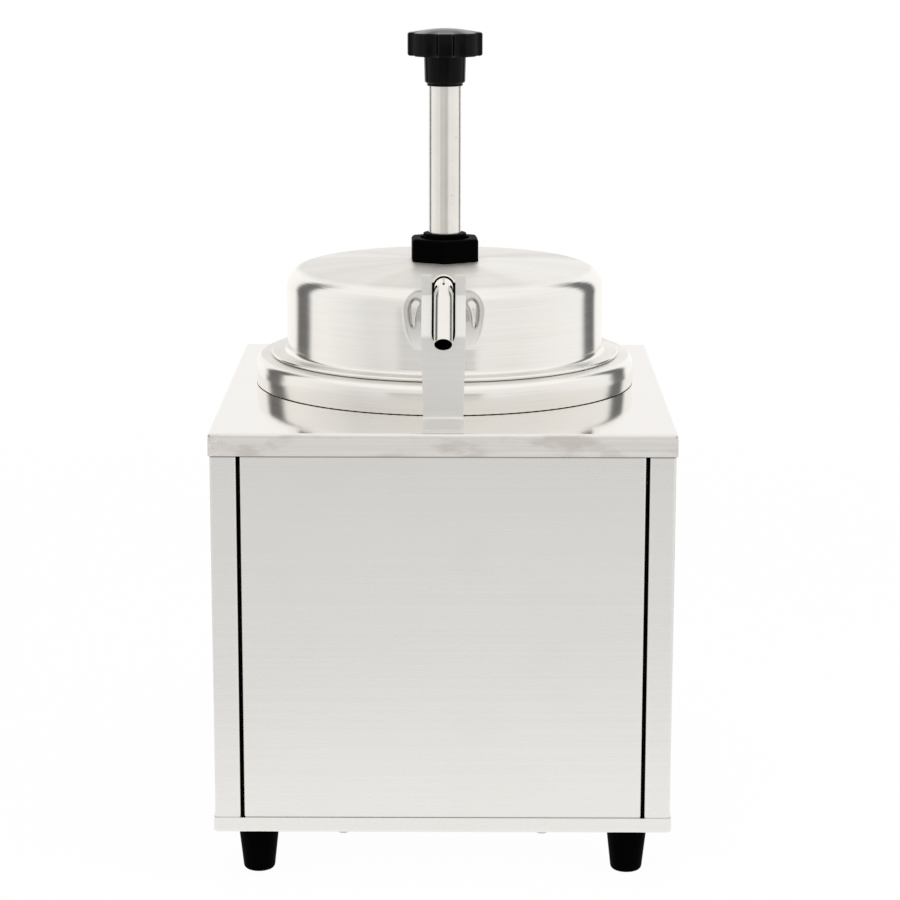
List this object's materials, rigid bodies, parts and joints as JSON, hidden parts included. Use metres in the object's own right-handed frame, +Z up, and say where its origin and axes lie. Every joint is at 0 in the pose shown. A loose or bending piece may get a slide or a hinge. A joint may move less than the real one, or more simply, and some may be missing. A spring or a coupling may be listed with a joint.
{
  "type": "hot fudge topping warmer",
  "caption": "Countertop topping warmer: square brushed steel housing on rubber feet, ring and round lid on top, tall pump plunger with a lobed knob, and a spout held in a forked strip.",
  "frame": {"origin": "on the table, under the middle of the whole outline", "axes": "+Z up, the front with the spout faces -Y, +X to the right seen from the front"},
  "size_m": [0.254, 0.3022, 0.4621],
  "materials": {
    "brushed_panel": "No. 4 brushed stainless sheet",
    "spun_steel": "turned stainless with fine circular lines",
    "polished_tube": "polished stainless",
    "strip_metal": "satin grey strip",
    "inner_steel": "plain mill finish",
    "fastener_steel": "bright zinc",
    "foot_rubber": "matt black rubber",
    "seal_rubber": "dark food-grade silicone",
    "knob_plastic": "glossy black phenolic",
    "nut_plastic": "matt black nylon",
    "control_plastic": "black moulded plastic",
    "pump_plastic": "white acetal",
    "dial_metal": "satin scale plate",
    "lamp_amber": "amber lens",
    "heater_metal": "heat-stained steel",
    "ceramic": "white steatite",
    "glass_wool": "pale glass wool",
    "copper_capillary": "drawn copper",
    "brass": "turned brass",
    "wire_cover": "silicone wire cover",
    "conductor_metal": "plain aluminium bar"
  },
  "bodies": {
    "housing": {"top_deck": "brushed_panel", "left_side_panel": "brushed_panel", "right_side_panel": "brushed_panel", "front_panel": "brushed_panel", "rear_panel": "brushed_panel", "base_pan": "brushed_panel", "front_left_foot": "foot_rubber", "front_right_foot": "foot_rubber", "rear_left_foot": "foot_rubber", "rear_right_foot": "foot_rubber", "foot_screws": "fastener_steel", "foot_nuts": "fastener_steel", "water_vessel": "spun_steel", "vessel_gasket": "seal_rubber", "vessel_clips": "inner_steel", "heater_band": "heater_metal", "heater_clamp_screw": "fastener_steel", "heater_terminals": "ceramic", "insulation_jacket": "glass_wool", "spout_bracket": "strip_metal", "conductor_strip": "conductor_metal", "bracket_nuts": "fastener_steel", "thermostat_body": "control_plastic", "dial_plate": "dial_metal", "thermostat_bulb": "copper_capillary", "capillary_tube": "copper_capillary", "switch_housing": "control_plastic", "indicator_lamp": "control_plastic", "lamp_lens": "lamp_amber", "power_inlet": "control_plastic", "inlet_pins": "brass", "inlet_screws": "fastener_steel", "rear_panel_screws": "fastener_steel", "base_pan_screws": "fastener_steel", "terminal_block": "ceramic", "internal_leads": "wire_cover"},
    "jar": {"food_jar": "spun_steel"},
    "pump_lid": {"lid": "spun_steel", "spout_sleeve": "polished_tube", "spout_tube": "polished_tube", "discharge_riser": "polished_tube", "foot_valve_body": "pump_plastic", "pump_nut": "nut_plastic", "guide_bush": "nut_plastic", "pump_head": "pump_plastic", "pump_gasket": "seal_rubber", "pump_cylinder": "polished_tube", "pump_spring": "inner_steel"},
    "plunger": {"plunger_tube": "polished_tube", "piston": "pump_plastic", "piston_seal": "seal_rubber", "pump_knob": "knob_plastic", "knob_insert": "brass"},
    "inlet_ball": {"foot_valve_ball": "polished_tube"},
    "outlet_ball": {"outlet_valve_ball": "polished_tube"},
    "temperature_dial": {"thermostat_knob": "control_plastic", "thermostat_shaft": "brass"},
    "rocker": {"power_rocker": "knob_plastic"}
  },
  "joints": [
    {"name": "jar_lift", "type": "slide", "parent": "housing", "child": "jar", "axis": [0, 0, 1], "range_m": [0, 0.19]},
    {"name": "lid_lift", "type": "slide", "parent": "jar", "child": "pump_lid", "axis": [0, 0, 1], "range_m": [0, 0.18]},
    {"name": "plunger_stroke", "type": "slide", "parent": "pump_lid", "child": "plunger", "axis": [0, 0, -1], "range_m": [0, 0.08], "stiffness_N_per_m": 140, "springref_m": -0.09, "deforming": ["pump_spring"]},
    {"name": "inlet_ball_lift", "type": "slide", "parent": "pump_lid", "child": "inlet_ball", "axis": [0, 0, 1], "range_m": [0, 0.003]},
    {"name": "outlet_ball_lift", "type": "slide", "parent": "pump_lid", "child": "outlet_ball", "axis": [0, 0, 1], "range_m": [0, 0.003]},
    {"name": "thermostat_turn", "type": "hinge", "parent": "housing", "child": "temperature_dial", "pos_m": [-0.06198, 0.1341, 0.066], "axis": [0, 1, 0], "range_deg": [0, 270]},
    {"name": "rocker_press", "type": "hinge", "parent": "housing", "child": "rocker", "pos_m": [0.0221, 0.1341, 0.066], "axis": [-1, 0, 0], "range_deg": [0, 16]}
  ]
}
